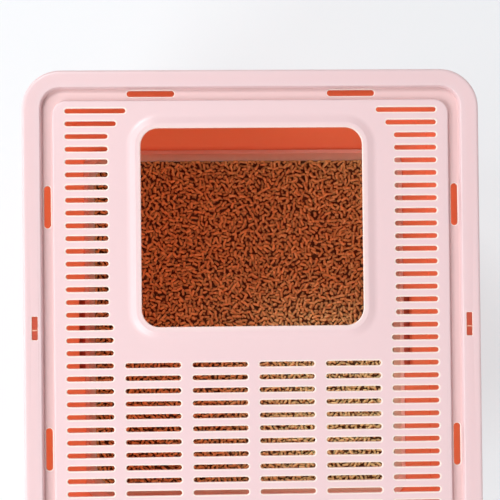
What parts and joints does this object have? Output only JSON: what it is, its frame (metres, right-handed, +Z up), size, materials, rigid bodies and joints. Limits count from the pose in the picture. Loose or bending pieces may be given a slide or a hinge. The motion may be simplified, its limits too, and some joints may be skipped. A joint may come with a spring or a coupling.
{
  "type": "covered litter box",
  "caption": "Top-entry covered cat litter box: a slotted lid with a square entry, a tapered body and a litter pan with swing clips.",
  "frame": {"origin": "on the floor, under the middle of the box", "axes": "+Z up, +Y along the box towards the end with the entry opening, +X to the right seen from above with the entry at the top"},
  "size_m": [0.4454, 0.485, 0.385],
  "materials": {
    "lid_plastic": "pale pink moulded polypropylene with a satin gloss",
    "body_plastic": "coral red moulded polypropylene with a satin gloss",
    "pan_plastic": "pale pink moulded polypropylene with a satin gloss",
    "litter": "pressed plant-fibre pellets, dry and matt",
    "clip_plastic": "coral red moulded polypropylene with a satin gloss",
    "foot_rubber": "soft grey rubber, matt"
  },
  "bodies": {
    "base": {"pan": "pan_plastic", "litter_bed": "litter", "foot_near_left": "foot_rubber", "foot_near_right": "foot_rubber", "foot_far_left": "foot_rubber", "foot_far_right": "foot_rubber"},
    "shell": {"body": "body_plastic"},
    "cover": {"lid": "lid_plastic"},
    "left_latch": {"left_clip": "clip_plastic"},
    "right_latch": {"right_clip": "clip_plastic"}
  },
  "joints": [
    {"name": "body_lift", "type": "slide", "parent": "base", "child": "shell", "axis": [0, 0, 1], "range_m": [0, 0.15]},
    {"name": "lid_lift", "type": "slide", "parent": "shell", "child": "cover", "axis": [0, 0, 1], "range_m": [0, 0.12]},
    {"name": "left_clip_swing", "type": "hinge", "parent": "base", "child": "left_latch", "pos_m": [-0.2102, -0.011, 0.09], "axis": [0, 1, 0], "range_deg": [0, 180]},
    {"name": "right_clip_swing", "type": "hinge", "parent": "base", "child": "right_latch", "pos_m": [0.2102, -0.011, 0.09], "axis": [0, -1, 0], "range_deg": [0, 180]}
  ]
}
